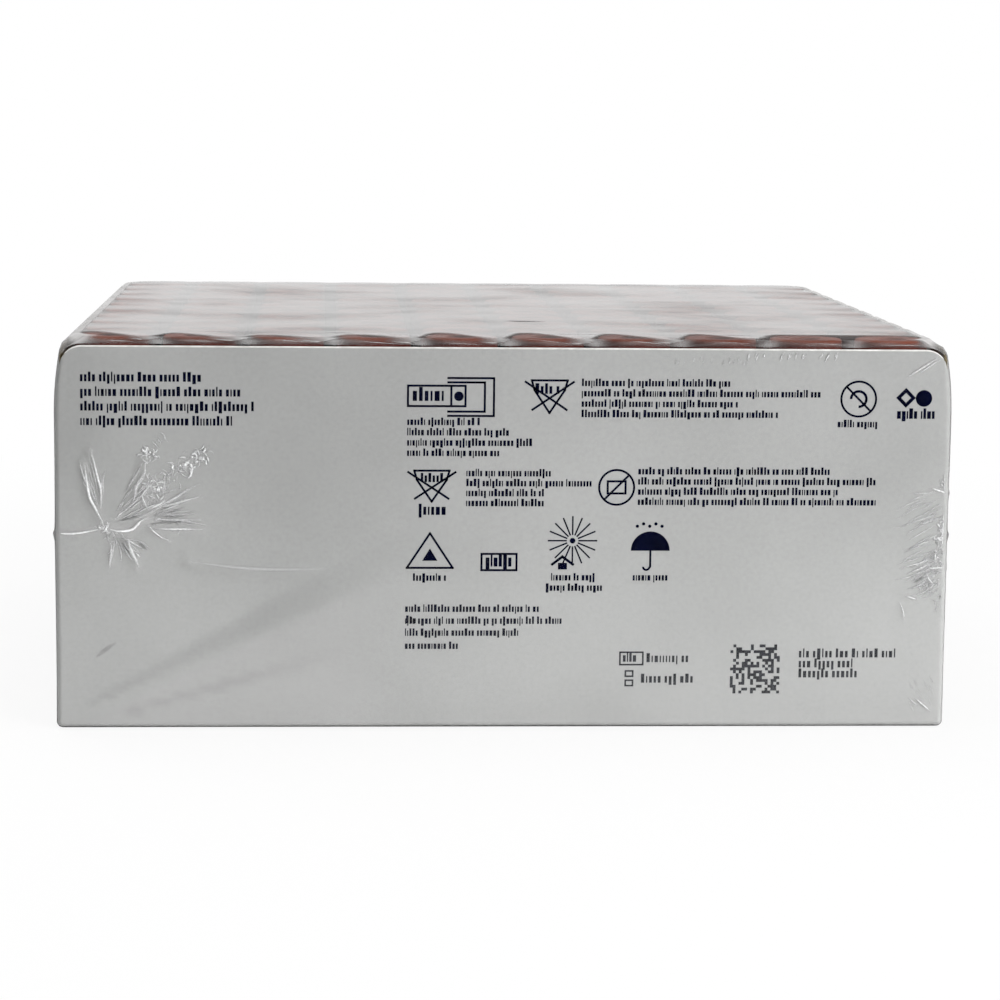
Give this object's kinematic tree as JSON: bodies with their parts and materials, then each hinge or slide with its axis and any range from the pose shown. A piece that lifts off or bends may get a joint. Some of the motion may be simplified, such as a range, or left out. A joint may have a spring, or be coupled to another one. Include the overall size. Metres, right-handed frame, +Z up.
{
  "type": "shrink-wrapped blood collection tube pack",
  "caption": "Square tray pack of stoppered glass blood collection tubes standing in a foam rack, sealed in clear shrink film.",
  "frame": {"origin": "middle of the pack's underside, on the surface it stands on", "axes": "+Z up, -Y out of the front panel, +X to the right seen from the front"},
  "size_m": [0.189, 0.189, 0.0824],
  "materials": {
    "board": "coated light grey board",
    "foam": "moulded bead foam",
    "glass": "clear drawn glass",
    "stopper": "matte brick red rubber",
    "film": "clear glossy shrink film"
  },
  "bodies": {
    "root": {"tray": "board", "tube_rack": "foam", "shrink_film": "film", "tube_01": "glass", "tube_02": "glass", "tube_03": "glass", "tube_04": "glass", "tube_05": "glass", "tube_06": "glass", "tube_07": "glass", "tube_08": "glass", "tube_09": "glass", "tube_10": "glass", "stopper_01": "stopper", "stopper_02": "stopper", "stopper_03": "stopper", "stopper_04": "stopper", "stopper_05": "stopper", "stopper_06": "stopper", "stopper_07": "stopper", "stopper_08": "stopper", "stopper_09": "stopper", "stopper_10": "stopper"}
  },
  "joints": []
}
